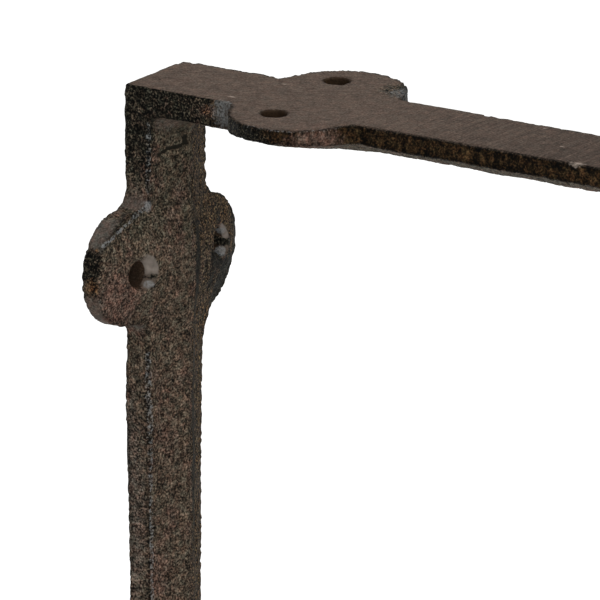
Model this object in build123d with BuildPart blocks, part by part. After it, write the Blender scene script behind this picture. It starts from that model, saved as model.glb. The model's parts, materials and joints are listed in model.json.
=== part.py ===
"""Cast iron shelf bracket: a gabled leg and arm in one casting, with a pair of screw ears on each.

Frame: +X points out from the wall, +Z points up, and the wall is the plane X = 0. The origin is on
the wall, midway between the two wall screws. Each member is drawn in its own plane, which has local
X across the member, local Y back towards the corner and local Z into the casting. Depths are
measured in from the flat outer face, and stations along the member from the corner. Left and right
are as seen from the front, with left at -Y.
"""

import math
import os
from dataclasses import dataclass

from build123d import *

# Bars: both leave the corner with the same gabled section, straight at first and then tapering.
bar_width = 25.9
corner_edge_depth = 7.0
corner_ridge_depth = 11.4
corner_straight = 16.0
ridge_radius = 4.5
leg_length = 152.0
leg_foot_width = 23.0
leg_foot_edge_depth = 6.3
leg_foot_ridge_depth = 11.3
arm_length = 203.0
arm_tip_width = 24.8
arm_tip_edge_depth = 4.8
arm_tip_ridge_depth = 10.5

# Screw holes: countersunk through the leg's ears, plain through the arm's.
screw_hole_diameter = 6.6
screw_head_diameter = 10.8
screw_seat_angle = 100.0
screw_seat_tilt = 12.0
wall_screw_drop = 47.2
wall_screw_spacing = 35.8
shelf_screw_reach = 44.5
shelf_screw_shift = 1.5
shelf_screw_spacing = 33.8
shelf_screw_skew = 5.4

# Ears of the leg. A drop is measured down from the corner.
leg_crown_ridge_depth = 12.1
leg_crown_screw_depth = 8.9
leg_left_ear_drop = 46.2
leg_left_ear_offset = 17.8
leg_left_ear_radius = 14.5
leg_left_ear_upper_fillet = 5.0
leg_left_ear_lower_fillet = 5.0
leg_left_ear_upper_rim_depth = 4.6
leg_left_ear_lower_rim_depth = 2.4
leg_right_ear_drop = 49.6
leg_right_ear_offset = 17.0
leg_right_ear_radius = 14.3
leg_right_ear_upper_fillet = 8.0
leg_right_ear_lower_fillet = 9.0
leg_right_ear_upper_rim_depth = 3.4
leg_right_ear_lower_rim_depth = 2.6

# Ears of the arm. A reach is measured out from the corner.
arm_crown_ridge_depth = 11.0
arm_crown_screw_depth = 7.3
arm_left_ear_reach = 50.0
arm_left_ear_offset = 12.2
arm_left_ear_radius = 16.3
arm_left_ear_inner_fillet = 6.0
arm_left_ear_outer_fillet = 4.0
arm_left_ear_inner_rim_depth = 2.4
arm_left_ear_outer_rim_depth = 3.0
arm_right_ear_reach = 47.3
arm_right_ear_offset = 13.0
arm_right_ear_radius = 16.7
arm_right_ear_inner_fillet = 3.0
arm_right_ear_outer_fillet = 3.0
arm_right_ear_inner_rim_depth = 3.4
arm_right_ear_outer_rim_depth = 2.8

# Rounding of the casting.
end_corner_radius = 3.0
outer_corner_radius = 0.8
inner_corner_radius = 3.0
edge_radius = 0.6

# Making: sections through a crown, its run past the ears, the stock that the outlines trim off, how
# far a seat's cut stands clear of the ear, and the distance within which two places are the same.
crown_steps = 10
crown_margin = 4.0
stock = 0.5
seat_lift = 2.0
tolerance = 0.01

half_bar = bar_width / 2
leg_plane = Plane(origin=(0, 0, wall_screw_drop), x_dir=(0, 1, 0), z_dir=(1, 0, 0))
arm_plane = Plane(origin=(0, 0, wall_screw_drop), x_dir=(0, -1, 0), z_dir=(0, 0, -1))


@dataclass
class Bar:
    """The plain section at one end of a member."""

    half_width: float
    edge_depth: float
    ridge_depth: float


@dataclass
class Ear:
    """One screw ear: a round lobe on the member's local +X side (side = 1) or -X side (-1).

    It has a near root, towards the corner, and a far root, towards the member's end.
    """

    side: int
    station: float
    offset: float
    radius: float
    near_fillet: float
    far_fillet: float
    near_rim_depth: float
    far_rim_depth: float


@dataclass
class Crown:
    """The swelling of a member that carries its ears, where it is fullest."""

    ridge_depth: float
    screw_offset: float
    screw_depth: float


def between(start, end, share):
    """The value that lies the given share of the way from start to end."""
    return start + (end - start) * share


def section_plane(member_plane, station):
    """The plane across a member at a station: local X across it, local Y into the casting."""
    origin = member_plane.from_local_coords((0, -station, 0))
    return Plane(origin=origin, x_dir=member_plane.x_dir, z_dir=-member_plane.y_dir)


def crown_rise(station, middle, reach):
    """How far the crown has swelled at a station: 1 at its middle, 0 at its reach and beyond."""
    share = min(abs(station - middle) / reach, 1)
    return 0.5 + 0.5 * math.cos(math.pi * share)


def flank(bar, ridge_depth, ear, crown, station, rim_width):
    """Shoulder, turn and rim of the section on one ear's side.

    The plain bar's shoulder lies in the stock beside it, on the line of the gable, so that the
    outline cuts a plain slope there. Where the crown is fullest, the shoulder is over the screw, and
    the section leaves it along the gable's slope and turns down over the ear.
    """
    reach = ear.radius + crown_margin
    rise = crown_rise(station, ear.station, reach)
    along = min(max((station - ear.station) / reach, -1), 1)
    bar_slope = (bar.ridge_depth - bar.edge_depth) / bar.half_width
    shoulder_width = between(bar.half_width + stock, crown.screw_offset, rise)
    shoulder_depth = between(bar.edge_depth - bar_slope * stock, crown.screw_depth, rise)
    rim_depth = between(ear.near_rim_depth, ear.far_rim_depth, (along + 1) / 2)
    turn_width = between(shoulder_width, rim_width, 0.5)
    slope = (ridge_depth - shoulder_depth) / shoulder_width
    sloped_depth = ridge_depth - slope * turn_width
    turn_depth = between(between(shoulder_depth, rim_depth, 0.5), sloped_depth, rise)
    return [
        (ear.side * shoulder_width, shoulder_depth),
        (ear.side * turn_width, turn_depth),
        (ear.side * rim_width, rim_depth),
    ]


def blank_section(plane, bar, ears, crown, station, rim_width):
    """Gabled section of the stock at a station: the ridge, and a flank on each side."""
    rise = sum(
        crown_rise(station, ear.station, ear.radius + crown_margin) for ear in ears
    ) / len(ears)
    ridge_depth = between(bar.ridge_depth, crown.ridge_depth, rise)
    with BuildSketch(section_plane(plane, station)) as section:
        with BuildLine():
            for ear in ears:
                shoulder, turn, rim = flank(bar, ridge_depth, ear, crown, station, rim_width)
                Line((0, ridge_depth), shoulder)
                Bezier(shoulder, turn, rim)
                Polyline(rim, (rim[0], -stock), (0, -stock))
        make_face()
        fillet(section.vertices().sort_by(Axis.Y)[-1], ridge_radius)
    return section.sketch


def ear_roots(outline, ear):
    """The two corners where an ear meets the bar: the near root, then the far root."""
    corners = outline.vertices().filter_by(
        lambda corner: corner.X * ear.side > 0 and abs(corner.Y + ear.station) < ear.radius
    )
    return corners.sort_by(Axis.Y)[-1], corners.sort_by(Axis.Y)[0]


def member_outline(plane, length, root, tip, ears):
    """The member seen square to its outer face: a tapering bar with a round ear on each side."""
    with BuildSketch(plane) as outline:
        with BuildLine():
            Polyline(
                (0, 0),
                (root.half_width, 0),
                (root.half_width, -corner_straight),
                (tip.half_width, -length),
                (0, -length),
            )
            mirror(about=Plane.YZ)
        make_face()
        for ear in ears:
            with Locations((ear.side * ear.offset, -ear.station)):
                Circle(ear.radius)
        end_corners = outline.vertices().sort_by(Axis.Y)[:2]
        fillet(end_corners, end_corner_radius)
        for ear in ears:
            near_root, far_root = ear_roots(outline, ear)
            fillet(near_root, ear.near_fillet)
            near_root, far_root = ear_roots(outline, ear)
            fillet(far_root, ear.far_fillet)
    return outline.sketch


def crowned_member(plane, length, root, tip, ears, crown):
    """One member: plain bar, crowned stretch with two ears, and tapering bar to the end.

    The depths go over from the corner's to the tip's across the crown, and the width along the taper.
    """
    start = min(ear.station - ear.radius for ear in ears) - crown_margin
    end = max(ear.station + ear.radius for ear in ears) + crown_margin
    rim_width = max(ear.offset + ear.radius for ear in ears) + stock
    stations = [between(start, end, step / crown_steps) for step in range(crown_steps + 1)]
    stations.append(length + stock)
    sections = []
    for station in stations:
        tapered = (station - start) / (length - start)
        crossed = min((station - start) / (end - start), 1)
        bar = Bar(
            between(root.half_width, tip.half_width, tapered),
            between(root.edge_depth, tip.edge_depth, crossed),
            between(root.ridge_depth, tip.ridge_depth, crossed),
        )
        sections.append(blank_section(plane, bar, ears, crown, station, rim_width))
    with BuildPart() as member:
        extrude(sections[0], amount=-start - stock)
        loft(sections[:-1])
        loft(sections[-2:], ruled=True)
        extrude(
            member_outline(plane, length, root, tip, ears),
            amount=crown.ridge_depth + stock,
            mode=Mode.INTERSECT,
        )
    return member.part


corner_bar = Bar(half_bar, corner_edge_depth, corner_ridge_depth)
leg = crowned_member(
    plane=leg_plane,
    length=leg_length,
    root=corner_bar,
    tip=Bar(leg_foot_width / 2, leg_foot_edge_depth, leg_foot_ridge_depth),
    ears=[
        Ear(
            side=-1,
            station=leg_left_ear_drop,
            offset=leg_left_ear_offset,
            radius=leg_left_ear_radius,
            near_fillet=leg_left_ear_upper_fillet,
            far_fillet=leg_left_ear_lower_fillet,
            near_rim_depth=leg_left_ear_upper_rim_depth,
            far_rim_depth=leg_left_ear_lower_rim_depth,
        ),
        Ear(
            side=1,
            station=leg_right_ear_drop,
            offset=leg_right_ear_offset,
            radius=leg_right_ear_radius,
            near_fillet=leg_right_ear_upper_fillet,
            far_fillet=leg_right_ear_lower_fillet,
            near_rim_depth=leg_right_ear_upper_rim_depth,
            far_rim_depth=leg_right_ear_lower_rim_depth,
        ),
    ],
    crown=Crown(
        ridge_depth=leg_crown_ridge_depth,
        screw_offset=wall_screw_spacing / 2,
        screw_depth=leg_crown_screw_depth,
    ),
)
arm = crowned_member(
    plane=arm_plane,
    length=arm_length,
    root=corner_bar,
    tip=Bar(arm_tip_width / 2, arm_tip_edge_depth, arm_tip_ridge_depth),
    ears=[
        Ear(
            side=1,
            station=arm_left_ear_reach,
            offset=arm_left_ear_offset,
            radius=arm_left_ear_radius,
            near_fillet=arm_left_ear_inner_fillet,
            far_fillet=arm_left_ear_outer_fillet,
            near_rim_depth=arm_left_ear_inner_rim_depth,
            far_rim_depth=arm_left_ear_outer_rim_depth,
        ),
        Ear(
            side=-1,
            station=arm_right_ear_reach,
            offset=arm_right_ear_offset,
            radius=arm_right_ear_radius,
            near_fillet=arm_right_ear_inner_fillet,
            far_fillet=arm_right_ear_outer_fillet,
            near_rim_depth=arm_right_ear_inner_rim_depth,
            far_rim_depth=arm_right_ear_outer_rim_depth,
        ),
    ],
    crown=Crown(
        ridge_depth=arm_crown_ridge_depth,
        screw_offset=shelf_screw_spacing / 2,
        screw_depth=arm_crown_screw_depth,
    ),
)


def in_inner_corner(edge):
    """Whether an edge lies where the leg's front meets the arm's underside, on their mitre."""
    middle = edge @ 0.5
    drop = wall_screw_drop - middle.Z
    return abs(drop - middle.X) < tolerance and middle.X > tolerance


def bounds_outer_faces(edge):
    """Whether an edge runs round the wall face, the shelf face and the round corner between them."""
    middle = edge @ 0.5
    drop = wall_screw_drop - middle.Z
    on_outer_face = min(drop, middle.X) < tolerance
    on_corner_round = max(drop, middle.X) < outer_corner_radius + tolerance
    across_corner = on_corner_round and abs((edge % 0.5).Y) > 0.5
    return (on_outer_face or on_corner_round) and not across_corner


with BuildPart() as bracket:
    add(leg)
    add(arm)
    fillet(bracket.edges().filter_by(in_inner_corner), inner_corner_radius)
    outer_corner = bracket.edges().filter_by(Axis.Y).sort_by(Axis.X)[0:2].sort_by(Axis.Z)[-1]
    fillet(outer_corner, outer_corner_radius)
    fillet(bracket.edges().filter_by(bounds_outer_faces), edge_radius)

    # Each wall screw has a conical seat, sunk square to the ear's sloping face.
    seat_slope = math.tan(math.radians(screw_seat_angle / 2))
    seat_tilt = math.radians(screw_seat_tilt)
    for side in (-1, 1):
        seat_centre = (leg_crown_screw_depth, side * wall_screw_spacing / 2, 0)
        seat_axis = (math.cos(seat_tilt), side * math.sin(seat_tilt), 0)
        with Locations(Plane(origin=seat_centre, z_dir=(1, 0, 0))):
            Hole(screw_hole_diameter / 2)
        with Locations(Plane(origin=seat_centre, z_dir=seat_axis).offset(seat_lift)):
            Cone(
                bottom_radius=0,
                top_radius=screw_head_diameter / 2 + seat_lift * seat_slope,
                height=screw_head_diameter / 2 / seat_slope + seat_lift,
                align=(Align.CENTER, Align.CENTER, Align.MAX),
                mode=Mode.SUBTRACT,
            )

    # The row of shelf screws is set askew on the arm.
    shelf_row_centre = (shelf_screw_reach, shelf_screw_shift, wall_screw_drop)
    with Locations(Plane(origin=shelf_row_centre).rotated((0, 0, shelf_screw_skew))):
        with GridLocations(0, shelf_screw_spacing, 1, 2):
            Hole(screw_hole_diameter / 2)

bracket.part.label = "bracket"
os.makedirs("parts", exist_ok=True)
export_step(bracket.part, "parts/bracket.step")
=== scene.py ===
import json
import math
from dataclasses import dataclass

import bmesh
import bpy
import numpy as np
from mathutils import Matrix, Vector, noise


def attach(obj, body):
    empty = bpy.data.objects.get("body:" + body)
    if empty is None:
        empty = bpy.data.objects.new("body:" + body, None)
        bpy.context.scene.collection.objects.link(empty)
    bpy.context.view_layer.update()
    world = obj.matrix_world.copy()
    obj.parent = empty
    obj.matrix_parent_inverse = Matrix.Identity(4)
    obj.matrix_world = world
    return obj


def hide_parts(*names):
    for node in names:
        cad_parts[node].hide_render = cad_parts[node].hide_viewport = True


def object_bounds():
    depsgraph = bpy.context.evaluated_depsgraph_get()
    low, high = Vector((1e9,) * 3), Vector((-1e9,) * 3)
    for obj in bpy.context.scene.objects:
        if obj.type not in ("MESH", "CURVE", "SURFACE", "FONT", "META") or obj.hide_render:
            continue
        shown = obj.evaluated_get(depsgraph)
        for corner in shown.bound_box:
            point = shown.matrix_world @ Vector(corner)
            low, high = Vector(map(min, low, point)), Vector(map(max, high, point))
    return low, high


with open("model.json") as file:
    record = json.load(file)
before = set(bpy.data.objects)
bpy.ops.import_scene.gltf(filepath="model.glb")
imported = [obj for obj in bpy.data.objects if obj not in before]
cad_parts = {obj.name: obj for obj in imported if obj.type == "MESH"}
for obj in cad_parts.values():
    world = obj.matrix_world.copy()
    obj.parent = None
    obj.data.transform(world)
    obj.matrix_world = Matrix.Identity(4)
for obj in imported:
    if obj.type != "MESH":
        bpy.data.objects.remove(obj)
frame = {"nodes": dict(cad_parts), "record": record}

bl_info = {
    "name": "Cast iron shelf bracket",
    "version": (1, 0, 0),
    "blender": (4, 5, 0),
    "location": "3D View > Sidebar > Bracket",
    "description": "Gives the shelf bracket its sand-cast skin and sets up the studio",
    "category": "Object",
}

MM = 0.001
WHITE = (1, 1, 1, 1)
CAD_LOW, CAD_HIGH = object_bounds()
MOUNTS = {mount["name"]: mount for mount in frame["record"]["mounts"]}

# The wall's two screws lie level, and the shelf's two lie in a row that is askew on the arm.
SHELF_ROW_SKEW = math.radians(5.4)
SCREW_HEAD_RADIUS = 5.4 * MM
HOLE_RADIUS = MOUNTS["wall_screws"]["dims"]["hole_r_mm"] * MM
WALL_SPACING = MOUNTS["wall_screws"]["dims"]["spacing_x_mm"] * MM
SHELF_SPACING = MOUNTS["shelf_screws"]["dims"]["pcd_mm"] * MM
SHELF_ROW_CENTRE = Vector(MOUNTS["shelf_screws"]["pos_m"])
SHELF_ROW = Vector((-math.sin(SHELF_ROW_SKEW), math.cos(SHELF_ROW_SKEW), 0)) * SHELF_SPACING / 2

# For each screw: a point on its axis, the directions across it, and the radius that was cut for it.
SCREWS = [((0, side * WALL_SPACING / 2, 0), (0, 1, 1), SCREW_HEAD_RADIUS) for side in (-1, 1)]
SCREWS += [(SHELF_ROW_CENTRE + side * SHELF_ROW, (1, 1, 0), HOLE_RADIUS) for side in (-1, 1)]

# The cones that seat the wall screws' heads, turned outwards with the faces of the ears.
SEAT_SLOPE = math.tan(math.radians(50))
SEAT_TURN = math.radians(12)
SEAT_RIM_OUT = 8.9 * MM
SEAT_AXIS = Vector((math.cos(SEAT_TURN), math.sin(SEAT_TURN), 0))
SEAT_CENTRE = Vector((SEAT_RIM_OUT, WALL_SPACING / 2, 0))


def linear(hex_colour):
    """Linear RGBA of an sRGB hex colour such as "5a4e47"."""
    channels = [int(hex_colour[i : i + 2], 16) / 255 for i in (0, 2, 4)]
    return [c / 12.92 if c <= 0.04045 else ((c + 0.055) / 1.055) ** 2.4 for c in channels] + [1.0]


def add_node(tree, kind, inputs=None, **settings):
    """Adds a node of that kind with its settings; an input is a value, or a socket to link."""
    node = tree.nodes.new(kind)
    for name, value in settings.items():
        setattr(node, name, value)
    for name, value in (inputs or {}).items():
        if isinstance(value, bpy.types.NodeSocket):
            tree.links.new(value, node.inputs[name])
        else:
            node.inputs[name].default_value = value
    return node


def cleared_tree(owner):
    """The node tree of a material or a world, with nothing in it yet."""
    owner.use_nodes = True
    owner.node_tree.nodes.clear()
    return owner.node_tree


# Settings


def length_setting(name, description, millimetres):
    """A length, given in mm and shown in the scene's unit."""
    return bpy.props.FloatProperty(
        name=name, description=description, default=millimetres * MM, unit="LENGTH", precision=5
    )


def angle_setting(name, description, degrees):
    """An angle, given and shown in degrees."""
    return bpy.props.FloatProperty(
        name=name, description=description, default=math.radians(degrees), subtype="ANGLE"
    )


def share_setting(name, description, share):
    """A share or a level from 0 to 1."""
    return bpy.props.FloatProperty(
        name=name, description=description, default=share, subtype="FACTOR", min=0, max=1
    )


def power_setting(name, description, watts):
    """A lamp's power."""
    return bpy.props.FloatProperty(name=name, description=description, default=watts, unit="POWER")


def colour_setting(name, description, hex_colour):
    """A colour, given as sRGB hex and kept as linear RGBA."""
    return bpy.props.FloatVectorProperty(
        name=name, description=description, default=linear(hex_colour), size=4, subtype="COLOR",
        min=0, max=1,
    )


class ReliefSettings(bpy.types.PropertyGroup):
    """Sizes of the relief that the sand mould left on the casting."""

    voxel: length_setting("Mesh spacing", "Distance between the casting's vertices", 0.58)
    wave_length: length_setting("Wave length", "Size of the slow waves in the skin", 11)
    wave_height: length_setting("Wave height", "Height of the slow waves", 0.22)
    pit_length: length_setting("Pit spacing", "Distance between the pits", 1.9)
    pit_depth: length_setting("Pit depth", "Depth of the pits", 0.26)
    grain_length: length_setting("Lump size", "Size of the lumps between the pits", 1.2)
    grain_height: length_setting("Lump height", "Height of the lumps", 0.12)
    bite_length: length_setting("Bite spacing", "Distance between the bites in the edges", 1.7)
    bite_depth: length_setting("Bite depth", "Depth of the bites in the edges", 0.26)
    proud: length_setting("Proud skin", "How far the rough skin stands out before pits and bites", 0.25)
    crack_depth: length_setting("Crack depth", "Depth of the cold shut above the leg's ears", 0.5)


class FinishSettings(bpy.types.PropertyGroup):
    """Colours, gloss and fine relief of the casting's finish."""

    olive: colour_setting("Olive skin", "Skin of the leg's upper part", "453e34")
    brown: colour_setting("Brown skin", "Skin of the leg's lower part", "4c4238")
    red: colour_setting("Reddish skin", "Skin with more rust in it", "53423a")
    dust: colour_setting("Dusty skin", "Pale brown-grey skin", "554c45")
    umber: colour_setting("Umber skin", "Skin on the arm's sides", "291e12")
    # This black-brown is soot in stains and some marks, and painted shade in the seats, by the crease,
    # under the worn edge, along the ridge and at the right ear's edges. The crack is drawn in it too.
    soot: colour_setting("Soot", "Black deposit of the mould's facing", "1b1914")
    shelf_face: colour_setting("Rubbed face", "Rubbed faces that meet the shelf and the wall", "50443c")
    # The right flank's darker skin is painted shade: that flank faces away from the lamps.
    flank: colour_setting("Flank skin", "Skin on the leg's right flank", "382d20")
    rim: colour_setting("Rim", "Smooth rim of the leg's left ear", "524a44")
    # Worn iron's pale grey is bare iron and also the lamps' painted glints on the worn edges and
    # patches.
    worn: colour_setting("Worn iron", "Bare high spots on the edges", "7d7f7f")
    seat: colour_setting("Cut iron", "Upper halves of the screw seats", "6e665f")
    damp_seat: colour_setting("Damp cut iron", "Lower halves of the screw seats", "51473f")
    bore: colour_setting("Bore", "Walls of the screw holes", "281d14")
    rust: colour_setting("Rust", "Orange rust", "62452d")
    chip: colour_setting("Chip", "Pale chips and specks", "9a8d82")
    roughness: share_setting("Roughness", "Roughness of the skin", 0.65)
    worn_roughness: share_setting("Worn roughness", "Roughness of the bare iron", 0.45)
    gloss: share_setting("Gloss", "Specular level, low since the pits swallow reflections", 0.03)
    grain_depth: length_setting("Grain depth", "Depth of the sand grains in the rough skin", 0.22)
    streak_depth: length_setting("Streak depth", "Depth of the streaks in the rubbed faces", 0.06)


class StageSettings(bpy.types.PropertyGroup):
    """Camera, lamps and floor."""

    heading: angle_setting("Heading", "Camera's turn to the left of the leg's side", 32.97)
    tilt: angle_setting("Tilt", "How far the camera looks down", 16.95)
    roll: angle_setting("Roll", "Camera's roll", 0.12)
    distance: length_setting("Distance", "From the camera to the outer corner, along the view", 2500)
    lens: bpy.props.FloatProperty(
        name="Lens", description="Focal length in mm", default=600, unit="CAMERA"
    )
    aim_right: length_setting("Aim right", "Aim, to the right of the outer corner", 36.7)
    aim_down: length_setting("Aim down", "Aim, below the outer corner", 57.1)
    sky: share_setting("Room light", "Level of the even light from all round", 0.18)
    overhead_power: power_setting("Overhead lamp", "Power of the soft lamp overhead", 8.5)
    rear_power: power_setting("Rear lamp", "Power of the soft lamp behind the leg", 5.0)
    front_power: power_setting("Front lamp", "Power of the soft lamp in front", 9.5)
    board: colour_setting("Board", "White paint of the floor", "f0f0ee")


# Marks: places where the skin differs from the rest. Each is an ellipsoid with a soft edge. Its
# centre and its reach are in mm, out from the wall, to the right, and up from the wall screws.


@dataclass
class Mark:
    """A place where the casting's skin differs."""

    centre: tuple
    reach: tuple
    strength: float = 1.0


MARKS = {
    # Black-brown marks. Soot, the mould's black facing: on the corner's sides and the near ear's side,
    # on the left ear's rim and at the far ear's end.
    # Painted shade: in and around the seats and the right bore, under the left ear's worn edge, beside
    # the leg's left crease, along the ridge and on the right ear's outer and lower edges.
    "soot": [
        Mark((8, -13, 42), (34, 3.5, 34), 0.72),
        Mark((8, 13, 41), (34, 3.5, 34), 0.75),
        Mark((43, -26, 43), (17, 10, 9), 1.2),
        Mark((2, -32, 6), (8, 3.5, 9), 0.8),
        Mark((7, 18, -10), (7, 11, 16), 0.5),
        Mark((4, 30, -3), (6, 5, 22), 0.7),
        Mark((8.6, -13.9, -1.4), (3.6, 4.6, 1.2), 0.72),
        Mark((7.2, 21.6, -1.4), (2.5, 4, 1.1), 1.3),
        Mark((7.5, 16, -4), (3, 3.5, 5), 0.85),
        Mark((12, 2.9, 4), (3, 2.9, 34), 0.76),
        Mark((11, 2.7, -50), (3, 2.9, 60), 0.74),
        Mark((4.0, -12.9, -64), (1.9, 1.6, 56), 0.8),
        Mark((60.5, 20, 47), (7.5, 8, 5), 0.55),
        Mark((6.6, -20, 12.2), (2.5, 9, 2.2), 0.5),
        Mark((5, 20.5, -1), (4, 2.5, 1.5), 1.0),
        Mark((9.8, 12.8, -2.6), (2.5, 2.6, 3.4), 0.9),
        Mark((7.4, 18.6, 5.3), (2.5, 2.8, 1.2), 0.8),
        Mark((6, 24, -12), (6, 10, 11), 0.8),
        Mark((9.4, 11.5, -8), (3, 4.5, 7), 0.5),
    ],
    # Rustier skin: the left ear's lower half, the arm's near ear, and by the inner corner.
    "red": [
        Mark((5, -24, -5), (8, 14, 16), 0.75),
        Mark((61, -21, 43), (13, 13, 8), 0.75),
        Mark((24.5, -13, 44), (5, 2.5, 3), 0.8),
        Mark((7.5, -11, 30), (3, 4, 6), 0.6),
        Mark((8, -6, -42), (5, 8, 40), 0.4),
    ],
    # Paler skin: the leg's left side, by the inner corner, and the left ear's lower rim.
    "dust": [
        Mark((2, -12, -62), (7, 4, 56), 0.6),
        Mark((11, -8, 38), (10, 10, 6), 0.7),
        Mark((3, -31, -7), (4, 4, 7), 0.9),
    ],
    # Bare iron, its pale grey also a painted highlight: the near ear's root, the far ear's end, and on
    # the left ear and in the seats.
    "worn": [
        Mark((29.5, -14.5, 44.5), (6.5, 5, 9), 0.65),
        Mark((62.5, 18, 46.5), (7, 8, 4), 0.52),
        Mark((7.1, -13.2, 16.4), (2.2, 1.8, 2.4), 0.9),
        Mark((8.0, -14.4, -3.3), (2.6, 2.8, 1.8), 0.88),
        Mark((7.2, 19.5, -3.3), (2.2, 2.6, 2.2), 1.2),
        Mark((6.3, 20.8, 1.7), (2.6, 2.0, 2.2), 0.8),
    ],
    # Orange rust: two spots on the left ear's rim, and the arm's left side by the corner.
    "rust": [
        Mark((3.2, -32.3, -1), (4, 3, 4.5), 0.55),
        Mark((3.4, -30.4, 8.6), (1.4, 1.4, 1.4), 0.6),
        Mark((25, -13, 43.8), (4, 2.5, 3.2), 0.4),
    ],
    # Pale chips: in the edge of the shelf face, far out on the left, and specks on that face.
    "chip": [
        Mark((131.5, -11.9, 47), (4.6, 2.2, 2.0), 0.5),
        Mark((29, -8.6, 47.2), (2.4, 0.5, 0.6), 0.9),
        Mark((33.5, 8.5, 47.2), (1.2, 0.7, 0.8), 0.7),
        Mark((108.7, 9.9, 47.2), (1.4, 0.7, 0.8), 0.7),
        Mark((120.9, -1.4, 47.2), (1.4, 0.7, 0.8), 0.7),
    ],
}

# Where the skin is smoother: by the inner corner, along the ridge, and on the near ear's side.
SMOOTH = [
    Mark((11, -6, 38.5), (10, 14, 7)),
    Mark((11.5, 2.8, -30), (3, 2.2, 84), 0.8),
    Mark((30, -15, 44), (6, 6, 8)),
    Mark((62, -21, 43), (14, 14, 8), 0.7),
]

# Where the casting swells beyond its pattern, or falls short. A strength here is a height in mm.
SWELLS = [
    Mark((6, -13, -38), (10, 5, 30), 0.9),
    Mark((6, -13, 32), (10, 3, 24), 0.35),
    Mark((5, 16, 19), (9, 4, 4), 0.7),
    Mark((6, 13.5, -19), (9, 5, 9), 0.5),
    Mark((0, 13, 47.2), (3.5, 3.5, 3.5), -0.7),
]

# Edges worn to bare dots of iron, whose pale grey is also a painted highlight: the left ear's above its
# screw, the leg's left crease above and below the ear, and the near ear's on the arm. Each is a path and
# how strongly it is worn.
GLINTING_WORN_EDGES = [
    ([(4.8, -29.3, 9.6), (5.9, -23.7, 12.5), (6.5, -18.0, 14.8), (7.1, -13.1, 16.6)], 0.93),
    ([(7.2, -12.9, 38.0), (7.1, -12.7, 18.0)], 0.82),
    ([(6.5, -12.2, -22.0), (6.6, -11.6, -48.0), (6.8, -10.6, -104.0)], 0.86),
    ([(46, -27.7, 47), (53, -27.7, 47), (58, -26.4, 47), (62, -23.4, 47), (66.4, -15, 47)], 0.78),
]
GLINTING_WORN_EDGE_WIDTH = 1.3

# What else the casting's vertices tell the material about its form.
FORMS = (
    "face", "edge", "rim", "lump", "arm_side", "rim_wall", "flank", "worn_edge", "crack", "smooth",
)

# The far ear's end, which rubbed against nothing and kept its rough skin.
UNRUBBED = Mark((61.5, 20, 47.2), (8.5, 9, 5))

# The cold shut, where two streams of iron met without joining: a pit, and a crack down to the left.
COLD_SHUT = [(8.2, -9.3, 29.1), (9.3, -6.6, 30.2), (10.2, -3.8, 30.0), (11.0, -1.0, 31.0)]
COLD_SHUT_WIDTH = 0.95
COLD_SHUT_PIT = Mark((11.0, -1.6, 32.2), (2.0, 1.9, 1.5))


# The casting's mesh

# Marks are full up to this share of their reach, and paths up to this share of their width.
MARK_CORE = 0.25
PATH_CORE = 0.35

# How far each seed shifts the noise along each axis, so that no two patterns are alike.
SEED_STEPS = (17.3, 5.1, 9.7)

# From none to full: the share of a normal that points along an axis.
FACING = (0.6, 0.9)
LEVEL = (0.35, 0.7)
OUTWARD = (-0.2, 0.2)
FRONTAL = (0.72, 0.86)
RIGHTWARD = (0.08, 0.25)
LEFTWARD = (0.25, 0.45)

# From none to full: depths below a flat face, and places along x (out from the wall), y (to the
# right) and z (up).
FACE_DEPTH = (0.5 * MM, 0.2 * MM)
ARM_X = (20 * MM, 30 * MM)
BEYOND_LEG_X = (14 * MM, 18 * MM)
LEFT_EAR_Y = (-12.6 * MM, -14 * MM)
ABOVE_SCREW_Z = (6 * MM, 10 * MM)
BELOW_SCREW_Z = (-2 * MM, -5 * MM)

# From none to full: how far from a cut's rim the relief of the skin around it is.
CUT_EDGE = (-0.1 * MM, 0.5 * MM)

# Edges are found against a wide average of the mesh, lumps and the rims' width against a near one.
# From none to full: how far in mm edges and rims stand out. A lump adds so much for each mm.
WIDE_ROUNDS = 10
NEAR_ROUNDS = 3
EDGE_BULGE = (0.05, 0.30)
RIM_BULGE = (0.02, 0.16)
LUMP_PER_MM = 4

# The share of pits and lumps that rubbed faces and smooth skin have lost.
FACE_LOSS = 0.97
SMOOTH_LOSS = 0.7

# The share of the bites that is left at the least bitten edges, and of the proud skin away from rims.
LEAST_BITTEN = 0.4
PROUD_BETWEEN_RIMS = 0.4

# From none to full: the noise's values where the pits, the bites and the bitten stretches lie.
PIT_NOISE = (0.0, 0.55)
BITE_NOISE = (-0.1, 0.5)
BITTEN_NOISE = (-0.2, 0.3)

# Overlapping marks add up to this at most.
MARK_LIMIT = 1.5


def welded_copy(node):
    """A copy of a CAD node's mesh with its faces joined along their edges."""
    mesh = frame["nodes"][node].data.copy()
    work = bmesh.new()
    work.from_mesh(mesh)
    bmesh.ops.remove_doubles(work, verts=work.verts, dist=0.001 * MM)
    work.to_mesh(mesh)
    work.free()
    return mesh


def remeshed(mesh, voxel):
    """The same form as even quads of about the voxel's size."""
    shape = bpy.data.objects.new("casting_shape", mesh)
    bpy.context.scene.collection.objects.link(shape)
    remesh = shape.modifiers.new("even_mesh", "REMESH")
    remesh.mode = "VOXEL"
    remesh.voxel_size = voxel
    graph = bpy.context.evaluated_depsgraph_get()
    result = bpy.data.meshes.new_from_object(shape.evaluated_get(graph))
    bpy.data.objects.remove(shape)
    return result


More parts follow.
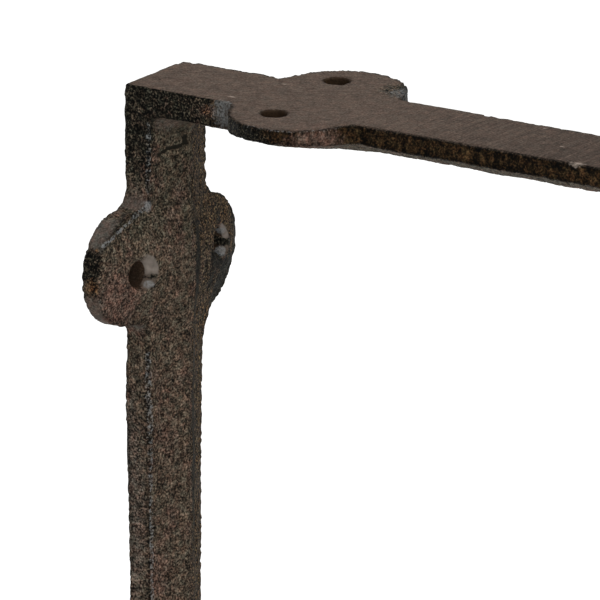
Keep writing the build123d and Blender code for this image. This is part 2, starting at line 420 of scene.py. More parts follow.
def vertex_arrays(mesh):
    """Positions, normals and edges of a mesh as arrays."""
    count = len(mesh.vertices)
    places = np.empty(count * 3)
    normals = np.empty(count * 3)
    edges = np.empty(len(mesh.edges) * 2, int)
    mesh.vertices.foreach_get("co", places)
    mesh.vertices.foreach_get("normal", normals)
    mesh.edges.foreach_get("vertices", edges)
    return places.reshape(-1, 3), normals.reshape(-1, 3), edges.reshape(-1, 2)


def spread(values, edges, rounds):
    """Values averaged over the mesh, a little farther with each round."""
    count = len(values)
    ends = np.concatenate([edges[:, 0], edges[:, 1]])
    others = np.concatenate([edges[:, 1], edges[:, 0]])
    degree = np.bincount(ends, minlength=count)
    flat = values.reshape(count, -1).copy()
    for _ in range(rounds):
        for column in range(flat.shape[1]):
            total = np.bincount(ends, weights=flat[others, column], minlength=count)
            flat[:, column] = 0.5 * flat[:, column] + 0.5 * total / degree
    return flat.reshape(values.shape)


def standing_out(places, normals, edges, rounds):
    """How far each vertex stands out from its surroundings, in mm."""
    return ((places - spread(places, edges, rounds)) * normals).sum(1) / MM


def smooth_step(low, high, values):
    """0 at low, 1 at high, and a smooth rise between."""
    share = np.clip((values - low) / (high - low), 0, 1)
    return share * share * (3 - 2 * share)


def noise_at(places, length, seed, octaves=1):
    """Noise of about -1 to 1 whose features are of that length.

    Each further octave is twice as fine and half as strong as the one before.
    """
    shift = Vector([seed * step for step in SEED_STEPS])
    if octaves == 1:
        return np.array([noise.noise(Vector(place) / length + shift) for place in places])
    return np.array(
        [noise.fractal(Vector(place) / length + shift, 1.0, 2.0, octaves) for place in places]
    )


def inside(mark, places):
    """The mark's strength at its centre, falling to 0 at its reach."""
    offset = (places / MM - np.array(mark.centre)) / np.array(mark.reach)
    return mark.strength * (1 - smooth_step(MARK_CORE, 1.0, np.linalg.norm(offset, axis=1)))


def near_path(points, width, places):
    """1 on a path of straight pieces, falling to 0 at that distance from it."""
    nearest = np.full(len(places), np.inf)
    for start, end in zip(np.array(points[:-1]), np.array(points[1:])):
        along = end - start
        share = np.clip((places / MM - start) @ along / (along @ along), 0, 1)
        gap = np.linalg.norm(places / MM - start - share[:, None] * along, axis=1)
        nearest = np.minimum(nearest, gap)
    return 1 - smooth_step(PATH_CORE * width, width, nearest)


def store(mesh, name, values):
    """Keeps one number for each vertex, for the material to read."""
    attribute = mesh.attributes.new(name, "FLOAT", "POINT")
    attribute.data.foreach_set("value", values.astype(np.float32))


def rubbed_faces(places, normals):
    """The flat faces that meet the shelf and the wall: 1 on them, 0 elsewhere."""
    off, on = FACE_DEPTH
    on_shelf_face = smooth_step(*FACING, normals[:, 2]) * smooth_step(
        CAD_HIGH.z - off, CAD_HIGH.z - on, places[:, 2]
    )
    on_wall_face = smooth_step(*FACING, -normals[:, 0]) * smooth_step(
        CAD_LOW.x + off, CAD_LOW.x + on, places[:, 0]
    )
    return np.maximum(on_shelf_face, on_wall_face)


def arm_sides(places, normals):
    """The arm's upright sides beyond the corner: 1 on them, 0 elsewhere."""
    upright = 1 - smooth_step(*LEVEL, np.abs(normals[:, 2]))
    return upright * smooth_step(*ARM_X, places[:, 0])


def leg_flank(places, normals):
    """The leg's right flank, beyond the ridge, which is painted shaded: 1 on it, 0 elsewhere."""
    on_leg = smooth_step(*OUTWARD, normals[:, 0]) * (1 - smooth_step(*BEYOND_LEG_X, places[:, 0]))
    return on_leg * smooth_step(*RIGHTWARD, normals[:, 1])


def leg_rim(places, normals):
    """The smooth upright rim of the leg's left ear, above the screw and below it: 1 there, else 0."""
    sideways = smooth_step(*LEFTWARD, -normals[:, 1]) * (1 - smooth_step(*FRONTAL, normals[:, 0]))
    outside = smooth_step(*LEFT_EAR_Y, places[:, 1])
    high = smooth_step(*ABOVE_SCREW_Z, places[:, 2])
    low = smooth_step(*BELOW_SCREW_Z, places[:, 2])
    on_leg = 1 - smooth_step(*BEYOND_LEG_X, places[:, 0])
    return sideways * outside * (high + low) * on_leg


def cut_places(places):
    """The screw holes and their seats, which were cut after casting: 1 there, 0 elsewhere."""
    skin_from, skin_full = CUT_EDGE
    cut = np.zeros(len(places))
    for point, across, radius in SCREWS:
        gap = np.linalg.norm((places - np.array(point)) * across, axis=1)
        cut = np.maximum(cut, 1 - smooth_step(radius + skin_from, radius + skin_full, gap))
    return cut


def relief_height(relief, places, edges, face, cut, rim, crack, smooth):
    """How far the sand mould moved each vertex out along its normal."""
    rough = (1 - FACE_LOSS * spread(face, edges, 1)) * (1 - cut) * (1 - SMOOTH_LOSS * smooth)
    waves = noise_at(places, relief.wave_length, seed=1, octaves=2)
    pits = smooth_step(*PIT_NOISE, noise_at(places, relief.pit_length, seed=2, octaves=2))
    lumps = noise_at(places, relief.grain_length, seed=3, octaves=2)
    bites = smooth_step(*BITE_NOISE, noise_at(places, relief.bite_length, seed=4, octaves=2))
    bitten = smooth_step(*BITTEN_NOISE, noise_at(places, relief.wave_length, seed=5))
    bites *= LEAST_BITTEN + (1 - LEAST_BITTEN) * bitten
    stands_out = PROUD_BETWEEN_RIMS + (1 - PROUD_BETWEEN_RIMS) * rim
    height = relief.wave_height * waves * (1 - face) * (1 - cut)
    height += relief.proud * stands_out * (1 - face) * (1 - cut)
    height -= relief.pit_depth * pits * rough
    height += relief.grain_height * lumps * rough
    height -= relief.bite_depth * bites * rim * (1 - cut)
    height -= relief.crack_depth * crack
    height += MM * sum(inside(mark, places) for mark in SWELLS) * (1 - face) * (1 - cut)
    return height


def casting_mesh(relief):
    """The bracket's casting, with the relief that its sand mould left."""
    mesh = remeshed(welded_copy("bracket"), relief.voxel)
    places, normals, edges = vertex_arrays(mesh)
    face = rubbed_faces(places, normals) * (1 - inside(UNRUBBED, places))
    cut = cut_places(places)
    crack = near_path(COLD_SHUT, COLD_SHUT_WIDTH, places)
    crack = np.maximum(crack, inside(COLD_SHUT_PIT, places))
    bulge = standing_out(places, normals, edges, WIDE_ROUNDS)
    rim = smooth_step(*RIM_BULGE, spread(np.maximum(bulge, 0), edges, NEAR_ROUNDS))
    rim_wall = leg_rim(places, normals)
    smooth = np.clip(sum(inside(mark, places) for mark in SMOOTH) + rim_wall, 0, 1)

    height = relief_height(relief, places, edges, face, cut, rim, crack, smooth)
    moved = np.clip(places + normals * height[:, None], np.array(CAD_LOW), np.array(CAD_HIGH))
    mesh.vertices.foreach_set("co", moved.ravel())
    mesh.update()

    edge = smooth_step(*EDGE_BULGE, bulge) * (1 - cut)
    lump = np.clip(0.5 + LUMP_PER_MM * standing_out(moved, normals, edges, NEAR_ROUNDS), 0, 1)
    glinting_worn_edges = [share * near_path(path, GLINTING_WORN_EDGE_WIDTH, places) for path, share in GLINTING_WORN_EDGES]
    forms = (
        face, edge, rim * (1 - cut), lump, arm_sides(places, normals), rim_wall,
        leg_flank(places, normals), np.max(glinting_worn_edges, axis=0), crack, smooth,
    )
    for name, values in zip(FORMS, forms):
        store(mesh, name, values)
    for name, spots in MARKS.items():
        store(mesh, name, np.clip(sum(inside(mark, places) for mark in spots), 0, MARK_LIMIT))
    return mesh


# The casting's finish

# The eye sees even steps of tone where a linear colour follows them to this power. A tone of 1 is the
# plain colour, and no spot gets darker than the darkest tone.
DISPLAY_GAMMA = 2.2
DARKEST_TONE = 0.15

# How much lighter or darker each feature makes the skin, where it is absent and where it is full.
GRAIN_TONES = {"grain": (-4.1, 3.7)}
# On the rough skin the clumps vary at random; lumps get painted light, and hollows, edges and rims
# painted shade.
ROUGH_TONES = {"clumps": (-1.3, 1.3), "lump": (-0.55, 0.5), "edge": (0.0, -0.9), "rim": (0.0, -0.5)}
# On the rubbed faces, the darker dots along the edges are painted shade.
FACE_TONES = {
    "streaks": (-0.85, 0.85), "grain": (-1.3, 1.3), "clumps": (-0.5, 0.5), "farther": (0.0, -0.45),
    "edge_shade": (0.0, -1.0), "pale_speck": (0.0, 0.8), "dark_speck": (0.0, -0.9),
}
# How much more the grains stand out in the marks of soot and painted shade, and on the leg's right
# flank, which is painted shaded.
DEEP_GRAIN = 2.5
# What the smoothest skin keeps of its changes of tone.
SMOOTH_TONE = 0.35

# Casts are factors on red, green and blue. The rubbed faces lose this share of theirs.
COOL_CAST = (0.90, 1.02, 1.03, 1)
WARM_CAST = (1.11, 0.98, 0.94, 1)
FACE_CAST_LOSS = 0.6

# From none to full: what a mark's strength and the speckle add up to.
RAGGED_MARK = (0.75, 1.30)

# From none to full: where along z the leg's skin turns browner and the seats are dry, and where
# along x the streaks turn square and the shelf face darkens.
BROWNER_Z = (22 * MM, -12 * MM)
DRY_Z = (-1.8 * MM, 0.4 * MM)
SQUARE_STREAKS_X = (60 * MM, 85 * MM)
DARKER_X = (70 * MM, 140 * MM)

# From none to full: how far outside its radius a bore's wall shows, and how well it covers the skin.
BORE_FADE = (0.5 * MM, 0.3 * MM)
BORE_COVER = 0.85

# From none to full: a bright cut's distance from its cone, its height above the cone's rim, and its
# way to the screw's right. The speckle moves its edge by half of the last value either way.
SEAT_GAP = (0.85 * MM, 0.55 * MM)
SEAT_HEIGHT = (0.8 * MM, 0.3 * MM)
SEAT_RIGHT = (0.6 * MM, 2.2 * MM)
SEAT_RAGGED = 0.6 * MM

# Streaks of rubbing are about 0.3 mm apart, drawn 0.5 mm so that they show.
STREAK_WIDTH = 0.5
SLANTING = math.radians(-62)
SQUARE = math.radians(-2)

NOISE_ROUGHNESS = 0.6
BUMP_STRENGTH = 0.8


def mottled(tree, place, length, detail, stretch=(1, 1, 1), distortion=0.0, turn=0.0):
    """Noise from 0 to 1 whose features are of that length in mm, drawn out and turned in plan."""
    size = tuple(length * MM * factor for factor in stretch)
    turned = add_node(
        tree, "ShaderNodeMapping", {"Vector": place, "Rotation": (0, 0, turn), "Scale": size},
        vector_type="TEXTURE",
    ).outputs["Vector"]
    return add_node(tree, "ShaderNodeTexNoise", {
        "Vector": turned, "Scale": 1.0, "Detail": detail, "Roughness": NOISE_ROUGHNESS,
        "Distortion": distortion,
    }).outputs["Fac"]


def ragged_mark(tree, carried, speckle):
    """A mark that the vertices carry, with its outline broken up by the speckle."""
    start, full = RAGGED_MARK
    shifted = add_node(
        tree, "ShaderNodeMath", {0: carried, 1: speckle}, operation="ADD"
    ).outputs["Value"]
    return add_node(
        tree, "ShaderNodeMapRange", {"Value": shifted, "From Min": start, "From Max": full},
        interpolation_type="SMOOTHSTEP",
    ).outputs["Result"]


def coats(tree, colour, layers):
    """The colour after each layer, a mask and a colour, is laid over it in turn."""
    for mask, over in layers:
        colour = add_node(
            tree, "ShaderNodeMix", {"Factor": mask, "A": colour, "B": over}, data_type="RGBA"
        ).outputs["Result"]
    return colour


def tone_sum(tree, features, tones):
    """Adds up the changes of tone that features, each a value from 0 to 1, bring with them."""
    total = 0.0
    for name, (absent, full) in tones.items():
        change = add_node(
            tree, "ShaderNodeMapRange", {"Value": features[name], "To Min": absent, "To Max": full}
        ).outputs["Result"]
        total = add_node(
            tree, "ShaderNodeMath", {0: total, 1: change}, operation="ADD"
        ).outputs["Value"]
    return total


def evenly_seen(tree, change):
    """Turns a change of tone to a factor on a linear colour, so that the eye sees even steps."""
    tone = add_node(
        tree, "ShaderNodeMath", {0: change, 1: 1 / DISPLAY_GAMMA, 2: 1.0}, operation="MULTIPLY_ADD"
    ).outputs["Value"]
    tone = add_node(
        tree, "ShaderNodeMath", {0: tone, 1: DARKEST_TONE}, operation="MAXIMUM"
    ).outputs["Value"]
    return add_node(
        tree, "ShaderNodeMath", {0: tone, 1: DISPLAY_GAMMA}, operation="POWER"
    ).outputs["Value"]


def bore_mask(tree, place):
    """How much the dark walls of the screw holes cover the skin."""
    nearest = 1.0
    for point, across, _ in SCREWS:
        flat = add_node(
            tree, "ShaderNodeVectorMath", {0: place, 1: across}, operation="MULTIPLY"
        ).outputs["Vector"]
        flat_point = [part * share for part, share in zip(point, across)]
        gap = add_node(
            tree, "ShaderNodeVectorMath", {0: flat, 1: flat_point}, operation="DISTANCE"
        ).outputs["Value"]
        nearest = add_node(
            tree, "ShaderNodeMath", {0: nearest, 1: gap}, operation="MINIMUM"
        ).outputs["Value"]
    none, full = BORE_FADE
    return add_node(tree, "ShaderNodeMapRange", {
        "Value": nearest, "From Min": HOLE_RADIUS + none, "From Max": HOLE_RADIUS + full,
        "To Max": BORE_COVER,
    }).outputs["Result"]


def seat_mask(tree, place, speckle):
    """1 on the bright parts of the cones that seat the wall screws' heads."""
    parts = add_node(tree, "ShaderNodeSeparateXYZ", {0: place}).outputs
    aside = add_node(tree, "ShaderNodeMath", {0: parts["Y"]}, operation="ABSOLUTE").outputs["Value"]
    mirrored = add_node(
        tree, "ShaderNodeCombineXYZ", {"X": parts["X"], "Y": aside, "Z": parts["Z"]}
    ).outputs["Vector"]
    offset = add_node(
        tree, "ShaderNodeVectorMath", {0: mirrored, 1: SEAT_CENTRE}, operation="SUBTRACT"
    ).outputs["Vector"]
    height = add_node(
        tree, "ShaderNodeVectorMath", {0: offset, 1: SEAT_AXIS}, operation="DOT_PRODUCT"
    ).outputs["Value"]
    along = add_node(
        tree, "ShaderNodeVectorMath", {0: SEAT_AXIS, "Scale": height}, operation="SCALE"
    ).outputs["Vector"]
    across = add_node(
        tree, "ShaderNodeVectorMath", {0: offset, 1: along}, operation="DISTANCE"
    ).outputs["Value"]
    cone = add_node(
        tree, "ShaderNodeMath", {0: height, 1: SEAT_SLOPE, 2: SCREW_HEAD_RADIUS},
        operation="MULTIPLY_ADD",
    ).outputs["Value"]
    gap = add_node(tree, "ShaderNodeMath", {0: across, 1: cone}, operation="SUBTRACT").outputs["Value"]
    gap = add_node(tree, "ShaderNodeMath", {0: gap}, operation="ABSOLUTE").outputs["Value"]
    gap = add_node(
        tree, "ShaderNodeMath", {0: speckle, 1: SEAT_RAGGED, 2: gap}, operation="MULTIPLY_ADD"
    ).outputs["Value"]
    # The tool bit deeper to each screw's right, and only there is the cut bright.
    side = add_node(tree, "ShaderNodeMath", {0: parts["Y"]}, operation="SIGN").outputs["Value"]
    right = add_node(
        tree, "ShaderNodeMath", {0: side, 1: -WALL_SPACING / 2, 2: parts["Y"]},
        operation="MULTIPLY_ADD",
    ).outputs["Value"]
    mask = 1.0
    for value, (none, full) in ((gap, SEAT_GAP), (height, SEAT_HEIGHT), (right, SEAT_RIGHT)):
        part = add_node(
            tree, "ShaderNodeMapRange", {"Value": value, "From Min": none, "From Max": full}
        ).outputs["Result"]
        mask = add_node(
            tree, "ShaderNodeMath", {0: mask, 1: part}, operation="MULTIPLY"
        ).outputs["Value"]
    return mask


def rubbed_streaks(tree, place):
    """Marks of rubbing on the shelf face: slanting by the corner, and square to the arm beyond."""
    slanting = mottled(tree, place, STREAK_WIDTH, detail=2.0, stretch=(1, 6, 8), turn=SLANTING)
    square = mottled(tree, place, STREAK_WIDTH, detail=2.0, stretch=(1, 22, 8), turn=SQUARE)
    out = add_node(tree, "ShaderNodeSeparateXYZ", {0: place}).outputs["X"]
    none, full = SQUARE_STREAKS_X
    beyond = add_node(
        tree, "ShaderNodeMapRange", {"Value": out, "From Min": none, "From Max": full}
    ).outputs["Result"]
    return add_node(
        tree, "ShaderNodeMix", {"Factor": beyond, "A": slanting, "B": square}
    ).outputs["Result"]


def skin_colour(tree, finish, place, noises, carried, masks):
    """The skin's colour: olive above the ears and browner below, with its stains and marks, and painted
    shade on the right flank and in some black-brown marks.
    """
    up = add_node(tree, "ShaderNodeSeparateXYZ", {0: place}).outputs["Z"]
    none, full = BROWNER_Z
    lower = add_node(tree, "ShaderNodeMapRange", {
        "Value": up, "From Min": none, "From Max": full, "To Min": -0.25, "To Max": 0.15,
    }).outputs["Result"]
    browner = add_node(
        tree, "ShaderNodeMath", {0: noises["patches"], 1: lower}, operation="ADD"
    ).outputs["Value"]
    browner, stained, sooted, warmth = (
        add_node(tree, "ShaderNodeMapRange", {
            "Value": value, "From Min": none, "From Max": full, "To Max": most,
        }).outputs["Result"]
        for value, none, full, most in (
            (browner, 0.35, 0.6, 1.0), (noises["stains"], 0.50, 0.66, 0.8),
            (noises["stains"], 0.42, 0.32, 0.45), (noises["tint"], 0.35, 0.65, 1.0),
        )
    )
    off_face = add_node(
        tree, "ShaderNodeMapRange", {"Value": carried["face"], "To Min": 1.0, "To Max": 0.0}
    ).outputs["Result"]
    # The black-brown marks, soot and painted shade, stay off the rubbed faces.
    soot = add_node(
        tree, "ShaderNodeMath", {0: masks["soot"], 1: off_face}, operation="MULTIPLY"
    ).outputs["Value"]
    colour = coats(tree, finish.olive, (
        (browner, finish.brown), (stained, finish.red), (sooted, finish.soot),
        # The right flank's darker colour is painted shade, and so is part of the black-brown marks.
        (carried["flank"], finish.flank), (carried["arm_side"], finish.umber),
        (carried["rim_wall"], finish.rim), (carried["face"], finish.shelf_face),
        (masks["red"], finish.red), (masks["dust"], finish.dust), (soot, finish.soot),
        (masks["rust"], finish.rust),
    ))
    # Patches as wide as a few grains are a little warmer or cooler, less so on the faces.
    plainer = add_node(
        tree, "ShaderNodeMath", {0: carried["face"], 1: FACE_CAST_LOSS}, operation="MULTIPLY"
    ).outputs["Value"]
    cast = coats(tree, COOL_CAST, ((warmth, WARM_CAST), (plainer, WHITE)))
    return add_node(
        tree, "ShaderNodeVectorMath", {0: colour, 1: cast}, operation="MULTIPLY"
    ).outputs["Vector"]


def skin_tone(tree, place, noises, carried, soot):
    """How much lighter or darker each spot of the rough skin is.

    Grains vary at random; lumps get painted light, and the pits between them, edges and rims painted
    shade.
    In soot and painted shade, and on the right flank painted shaded under flat light, grains stand out
    more.
    """
    grains = tone_sum(tree, noises, GRAIN_TONES)
    deeper = add_node(
        tree, "ShaderNodeMath", {0: soot, 1: carried["flank"]}, operation="MAXIMUM"
    ).outputs["Value"]
    deeper = add_node(
        tree, "ShaderNodeMapRange", {"Value": deeper, "To Min": 1.0, "To Max": DEEP_GRAIN}
    ).outputs["Result"]
    grains = add_node(
        tree, "ShaderNodeMath", {0: grains, 1: deeper}, operation="MULTIPLY"
    ).outputs["Value"]
    # The arm's sides are mottled in upright patches 1.5 mm wide.
    upright = mottled(tree, place, 1.5, detail=2.0, stretch=(1, 1, 2.7), distortion=0.5)
    upright = add_node(tree, "ShaderNodeMapRange", {
        "Value": upright, "From Min": 0.3, "From Max": 0.7, "To Min": -1.1, "To Max": 0.9,
    }).outputs["Result"]
    upright = add_node(
        tree, "ShaderNodeMath", {0: upright, 1: carried["arm_side"]}, operation="MULTIPLY"
    ).outputs["Value"]
    tone = tone_sum(tree, noises | carried, ROUGH_TONES)
    for part in (grains, upright):
        tone = add_node(tree, "ShaderNodeMath", {0: tone, 1: part}, operation="ADD").outputs["Value"]
    quieter = add_node(tree, "ShaderNodeMapRange", {
        "Value": carried["smooth"], "To Min": 1.0, "To Max": SMOOTH_TONE,
    }).outputs["Result"]
    return add_node(
        tree, "ShaderNodeMath", {0: tone, 1: quieter}, operation="MULTIPLY"
    ).outputs["Value"]


def face_tone(tree, place, noises, carried, streaks):
    """How much lighter or darker each spot of the rubbed faces is."""
    out = add_node(tree, "ShaderNodeSeparateXYZ", {0: place}).outputs["X"]
    # Painted shade: darker dots along the faces' edges.
    edge_shade = add_node(
        tree, "ShaderNodeMath", {0: carried["edge"], 1: noises["speckle"]}, operation="MULTIPLY"
    ).outputs["Value"]
    features = noises | {"streaks": streaks}
    for name, value, (none, full) in (
        ("farther", out, DARKER_X), ("edge_shade", edge_shade, (0.1, 0.6)),
        ("pale_speck", noises["speckle"], (0.64, 0.74)), ("dark_speck", noises["speckle"], (0.36, 0.28)),
    ):
        features[name] = add_node(
            tree, "ShaderNodeMapRange", {"Value": value, "From Min": none, "From Max": full}
        ).outputs["Result"]
    return tone_sum(tree, features, FACE_TONES)


def wear_and_glint_mask(tree, place, noises, carried, patch):
    """Bare iron with painted highlights: dots along the worn edges, and soft patches with upright folds
    in them.
    """
    dots = add_node(
        tree, "ShaderNodeMath", {0: noises["grain"], 1: noises["speckle"]}, operation="ADD"
    ).outputs["Value"]
    dots = add_node(
        tree, "ShaderNodeMath", {0: carried["worn_edge"], 1: dots}, operation="MULTIPLY"
    ).outputs["Value"]
    dots = add_node(
        tree, "ShaderNodeMapRange",
        {"Value": dots, "From Min": 0.78, "From Max": 1.12, "To Max": 0.72},
        interpolation_type="SMOOTHSTEP",
    ).outputs["Result"]
    # The folds are 0.9 mm wide and 4 mm high, and the grain breaks them up.
    folds = mottled(tree, place, 0.9, detail=2.0, stretch=(1, 1, 4.5), distortion=0.6)
    folds = add_node(tree, "ShaderNodeMapRange", {
        "Value": folds, "From Min": 0.36, "From Max": 0.70, "To Min": 0.1, "To Max": 0.6,
    }).outputs["Result"]
    grainy = add_node(
        tree, "ShaderNodeMapRange", {"Value": noises["grain"], "From Min": 0.3, "From Max": 0.6}
    ).outputs["Result"]
    folds = add_node(tree, "ShaderNodeMix", {"Factor": 0.6, "A": folds, "B": grainy}).outputs["Result"]
    folded = add_node(
        tree, "ShaderNodeMath", {0: patch, 1: folds}, operation="MULTIPLY"
    ).outputs["Value"]
    return add_node(tree, "ShaderNodeMath", {0: dots, 1: folded}, operation="MAXIMUM").outputs["Value"]


def cut_colours(tree, finish, place, noises):
    """The bores' and the seats' colours, a little cloudy, the seats' lower halves brown with damp."""
    up = add_node(tree, "ShaderNodeSeparateXYZ", {0: place}).outputs["Z"]
    damp, dry = DRY_Z
    drier = add_node(
        tree, "ShaderNodeMapRange", {"Value": up, "From Min": damp, "From Max": dry}
    ).outputs["Result"]
    clouds = add_node(tree, "ShaderNodeMapRange", {
        "Value": noises["clumps"], "From Min": 0.3, "From Max": 0.7, "To Min": 0.75, "To Max": 1.25,
    }).outputs["Result"]
    return [
        add_node(
            tree, "ShaderNodeVectorMath", {0: plain, "Scale": clouds}, operation="SCALE"
        ).outputs["Vector"]
        for plain in (finish.bore[:3], coats(tree, finish.damp_seat, ((drier, finish.seat),)))
    ]


def cut_layers(tree, finish, place, noises, masks):
    """The bores and the seats as a mask and a colour each, clean where there is no soot, painted shade
    or rust.
    """
    clean = add_node(
        tree, "ShaderNodeMath", {0: 1.0, 1: masks["soot"]}, operation="SUBTRACT"
    ).outputs["Value"]
    clean = add_node(
        tree, "ShaderNodeMath", {0: clean, 1: masks["rust"]}, operation="SUBTRACT", use_clamp=True
    ).outputs["Value"]
    cuts = (bore_mask(tree, place), seat_mask(tree, place, noises["speckle"]))
    layers = []
    for cut, colour in zip(cuts, cut_colours(tree, finish, place, noises)):
        mask = add_node(
            tree, "ShaderNodeMath", {0: cut, 1: clean}, operation="MULTIPLY"
        ).outputs["Value"]
        layers.append((mask, colour))
    return layers


def fine_relief(tree, finish, face, grain, streaks):
    """The normal that grains give to the rough skin, and streaks to the rubbed faces."""
    height = add_node(
        tree, "ShaderNodeMix", {"Factor": face, "A": grain, "B": streaks}
    ).outputs["Result"]
    depth = add_node(tree, "ShaderNodeMapRange", {
        "Value": face, "To Min": finish.grain_depth, "To Max": finish.streak_depth,
    }).outputs["Result"]
    return add_node(
        tree, "ShaderNodeBump", {"Height": height, "Strength": BUMP_STRENGTH, "Distance": depth}
    ).outputs["Normal"]


def sand_cast_iron(finish):
    """Old grey cast iron as it left its sand mould, rubbed on its faces and worn on its edges.

    The eye sees a matt, grainy brown-black skin with painted shade in its pits and at its edges, with
    dull grey dots, also painted highlights, where the edges are worn and a smoother brown-grey face
    under the shelf.
    """
    material = bpy.data.materials.new("sand_cast_iron")
    tree = cleared_tree(material)
    place = add_node(tree, "ShaderNodeTexCoord").outputs["Object"]
    carried = {
        name: add_node(tree, "ShaderNodeAttribute", attribute_name=name).outputs["Fac"]
        for name in FORMS + tuple(MARKS)
    }
    # Sand grains are 0.2 to 0.4 mm across, drawn 0.5 mm so that they show.
    noises = {
        "grain": mottled(tree, place, 0.52, detail=2.0),
        "speckle": mottled(tree, place, 1.0, detail=3.0),
        "tint": mottled(tree, place, 1.6, detail=2.0),
        "clumps": mottled(tree, place, 2.4, detail=2.0, distortion=0.4),
        "stains": mottled(tree, place, 6.0, detail=3.0, stretch=(1, 1, 1.6)),
        "patches": mottled(tree, place, 9.0, detail=3.0),
    }
    masks = {name: ragged_mark(tree, carried[name], noises["speckle"]) for name in MARKS}
    streaks = rubbed_streaks(tree, place)

    tone = add_node(tree, "ShaderNodeMix", {
        "Factor": carried["face"],
        "A": skin_tone(tree, place, noises, carried, masks["soot"]),
        "B": face_tone(tree, place, noises, carried, streaks),
    }).outputs["Result"]
    colour = skin_colour(tree, finish, place, noises, carried, masks)
    skin = add_node(
        tree, "ShaderNodeVectorMath", {0: colour, "Scale": evenly_seen(tree, tone)}, operation="SCALE"
    ).outputs["Vector"]
    worn = wear_and_glint_mask(tree, place, noises, carried, masks["worn"])
    crack = add_node(
        tree, "ShaderNodeMapRange", {"Value": carried["crack"], "From Min": 0.6, "From Max": 0.85}
    ).outputs["Result"]
    skin = coats(tree, skin, cut_layers(tree, finish, place, noises, masks) + [
        # Bare iron, pale also as painted highlights.
        (worn, finish.worn), (masks["chip"], finish.chip), (crack, finish.soot),
    ])
    roughness = add_node(tree, "ShaderNodeMapRange", {
        "Value": worn, "To Min": finish.roughness, "To Max": finish.worn_roughness,
    }).outputs["Result"]
    shader = add_node(tree, "ShaderNodeBsdfPrincipled", {
        "Base Color": skin, "Roughness": roughness, "Specular IOR Level": finish.gloss,
        "Normal": fine_relief(tree, finish, carried["face"], noises["grain"], streaks),
    }).outputs["BSDF"]
    add_node(tree, "ShaderNodeOutputMaterial", {"Surface": shader})
    return material


# The studio

# The floor reaches this far each way, in metres, and lies this far below the leg's foot.
FLOOR_REACH = 3.0
FLOOR_DROP = 0.15

# What the floor adds to its own brightness, so that it is white but for the bracket's shadow. The
# lamps' light falls off towards the floor's edges, and the addition grows from its middle outwards.
FLOOR_LIFT_MIDDLE = 0.32
FLOOR_LIFT_GROWTH = 0.4

# The lamps: each one's width and its way from the bracket's middle, in metres.
LAMPS = {
    "overhead": (0.9, (0.15, -0.1, 1.1)),
    "rear": (0.7, (-1.1, 0.1, 0.0)),
    "front": (0.7, (0.7, -0.85, 0.5)),
}

# The camera's sensor in mm, and the nearest that it sees in metres.
SENSOR_WIDTH = 36
NEAREST_SEEN = 0.1


def seen_rays(tree):
    """1 on the rays that show the studio: the camera's, and those that metal or glass turns."""
    path = add_node(tree, "ShaderNodeLightPath").outputs
    turned = add_node(
        tree, "ShaderNodeMath", {0: path["Is Glossy Ray"], 1: path["Is Transmission Ray"]},
        operation="MAXIMUM",
    ).outputs["Value"]
    return add_node(
        tree, "ShaderNodeMath", {0: path["Is Camera Ray"], 1: turned}, operation="MAXIMUM"
    ).outputs["Value"]


def matt_white_board(paint):
    """White painted board: even and without gloss, and bright to the camera where no shadow falls."""
    material = bpy.data.materials.new("matt_white_board")
    tree = cleared_tree(material)
    board = add_node(tree, "ShaderNodeBsdfDiffuse", {"Color": paint}).outputs["BSDF"]
    place = add_node(tree, "ShaderNodeTexCoord").outputs["Object"]
    away = add_node(tree, "ShaderNodeVectorMath", {0: place}, operation="LENGTH").outputs["Value"]
    lift = add_node(
        tree, "ShaderNodeMath", {0: away, 1: FLOOR_LIFT_GROWTH, 2: FLOOR_LIFT_MIDDLE},
        operation="MULTIPLY_ADD",
    ).outputs["Value"]
    lift = add_node(
        tree, "ShaderNodeMath", {0: lift, 1: seen_rays(tree)}, operation="MULTIPLY"
    ).outputs["Value"]
    glow = add_node(tree, "ShaderNodeEmission", {"Color": WHITE, "Strength": lift}).outputs["Emission"]
    both = add_node(tree, "ShaderNodeAddShader", {0: board, 1: glow}).outputs["Shader"]
    add_node(tree, "ShaderNodeOutputMaterial", {"Surface": both})
    return material


def add_lamp(name, power, width, place, aim):
    """A square soft lamp at a place, turned towards its aim."""
    lamp = bpy.data.lights.new(name, "AREA")
    lamp.energy = power
    lamp.size = width
    holder = bpy.data.objects.new(name, lamp)
    holder.location = place
    holder.rotation_euler = (Vector(aim) - Vector(place)).to_track_quat("-Z", "Y").to_euler()
    bpy.context.scene.collection.objects.link(holder)


def add_camera(stage):
    """The camera, turned to the left of the leg's side and looking down on the arm."""
    turn, tilt, roll = stage.heading, stage.tilt, stage.roll
    level = Vector((-math.sin(turn), math.cos(turn), 0))
    sight = level * math.cos(tilt) - Vector((0, 0, math.sin(tilt)))
    right = Vector((math.cos(turn), math.sin(turn), 0))
    up = level * math.sin(tilt) + Vector((0, 0, math.cos(tilt)))
    rolled_right = right * math.cos(roll) + up * math.sin(roll)
    rolled_up = up * math.cos(roll) - right * math.sin(roll)
    corner = Vector((CAD_LOW.x, 0, CAD_HIGH.z))
    aim = corner + rolled_right * stage.aim_right - rolled_up * stage.aim_down
    camera = bpy.data.cameras.new("camera")
    camera.lens = stage.lens
    camera.sensor_width = SENSOR_WIDTH
    camera.clip_start = NEAREST_SEEN
    holder = bpy.data.objects.new("camera", camera)
    turned = Matrix((rolled_right, rolled_up, -sight)).transposed().to_4x4()
    holder.matrix_world = Matrix.Translation(aim - sight * stage.distance) @ turned
    bpy.context.scene.collection.objects.link(holder)
    bpy.context.scene.camera = holder


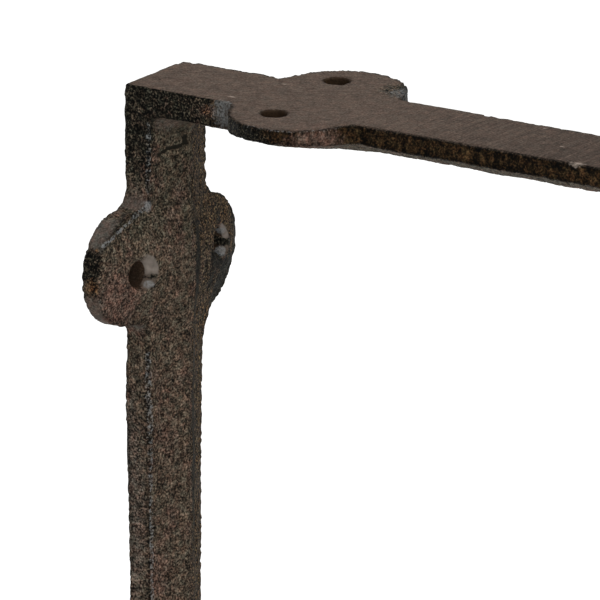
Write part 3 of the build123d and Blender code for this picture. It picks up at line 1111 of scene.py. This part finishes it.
def add_floor(paint):
    """The floor, well below the bracket, which hangs by its wall screws."""
    level = CAD_LOW.z - FLOOR_DROP
    mesh = bpy.data.meshes.new("floor")
    corners = [
        (x * FLOOR_REACH, y * FLOOR_REACH, level) for x, y in ((-1, -1), (1, -1), (1, 1), (-1, 1))
    ]
    mesh.from_pydata(corners, [], [(0, 1, 2, 3)])
    mesh.materials.append(matt_white_board(paint))
    floor = bpy.data.objects.new("floor", mesh)
    bpy.context.scene.collection.objects.link(floor)


def set_world(strength):
    """Even light from all round, and plain white where the camera sees past the floor."""
    world = bpy.data.worlds.new("studio")
    bpy.context.scene.world = world
    tree = cleared_tree(world)
    room = add_node(
        tree, "ShaderNodeBackground", {"Color": WHITE, "Strength": strength}
    ).outputs["Background"]
    seen = add_node(
        tree, "ShaderNodeBackground", {"Color": WHITE, "Strength": 1.0}
    ).outputs["Background"]
    both = add_node(
        tree, "ShaderNodeMixShader", {0: seen_rays(tree), 1: room, 2: seen}
    ).outputs["Shader"]
    add_node(tree, "ShaderNodeOutputWorld", {"Surface": both})


class BRACKET_OT_casting(bpy.types.Operator):
    """Make the bracket's casting in its sand-cast skin"""

    bl_idname = "bracket.casting"
    bl_label = "Casting"

    def execute(self, context):
        mesh = casting_mesh(context.scene.bracket_relief)
        mesh.materials.clear()
        mesh.materials.append(sand_cast_iron(context.scene.bracket_finish))
        mesh.shade_smooth()
        casting = bpy.data.objects.new("casting", mesh)
        context.scene.collection.objects.link(casting)
        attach(casting, "root")
        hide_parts("bracket")
        return {"FINISHED"}


class BRACKET_OT_stage(bpy.types.Operator):
    """Set up the floor, the lamps, the world and the camera"""

    bl_idname = "bracket.stage"
    bl_label = "Stage"

    def execute(self, context):
        stage = context.scene.bracket_stage
        middle = (CAD_LOW + CAD_HIGH) / 2
        add_camera(stage)
        add_floor(stage.board)
        for name, (width, way) in LAMPS.items():
            power = getattr(stage, name + "_power")
            add_lamp(name + "_lamp", power, width, middle + Vector(way), middle)
        set_world(stage.sky)
        context.scene.view_settings.view_transform = "Standard"
        return {"FINISHED"}


class BRACKET_PT_panel(bpy.types.Panel):
    """Sizes, colours and steps of the bracket"""

    bl_label = "Shelf bracket"
    bl_space_type = "VIEW_3D"
    bl_region_type = "UI"
    bl_category = "Bracket"

    def draw(self, context):
        scene = context.scene
        for groups, operator in (
            ((scene.bracket_relief, scene.bracket_finish), BRACKET_OT_casting),
            ((scene.bracket_stage,), BRACKET_OT_stage),
        ):
            box = self.layout.box()
            for group in groups:
                for name in group.__annotations__:
                    box.prop(group, name)
            box.operator(operator.bl_idname)


CLASSES = (
    ReliefSettings,
    FinishSettings,
    StageSettings,
    BRACKET_OT_casting,
    BRACKET_OT_stage,
    BRACKET_PT_panel,
)


def register():
    """Makes the settings, the operators and the panel known to Blender."""
    for cls in CLASSES:
        bpy.utils.register_class(cls)
    bpy.types.Scene.bracket_relief = bpy.props.PointerProperty(type=ReliefSettings)
    bpy.types.Scene.bracket_finish = bpy.props.PointerProperty(type=FinishSettings)
    bpy.types.Scene.bracket_stage = bpy.props.PointerProperty(type=StageSettings)


def unregister():
    """Takes them out of Blender again."""
    del bpy.types.Scene.bracket_stage
    del bpy.types.Scene.bracket_finish
    del bpy.types.Scene.bracket_relief
    for cls in reversed(CLASSES):
        bpy.utils.unregister_class(cls)


def main():
    """Builds the casting and the stage."""
    register()
    bpy.ops.bracket.casting()
    bpy.ops.bracket.stage()


if __name__ == "__main__":
    main()
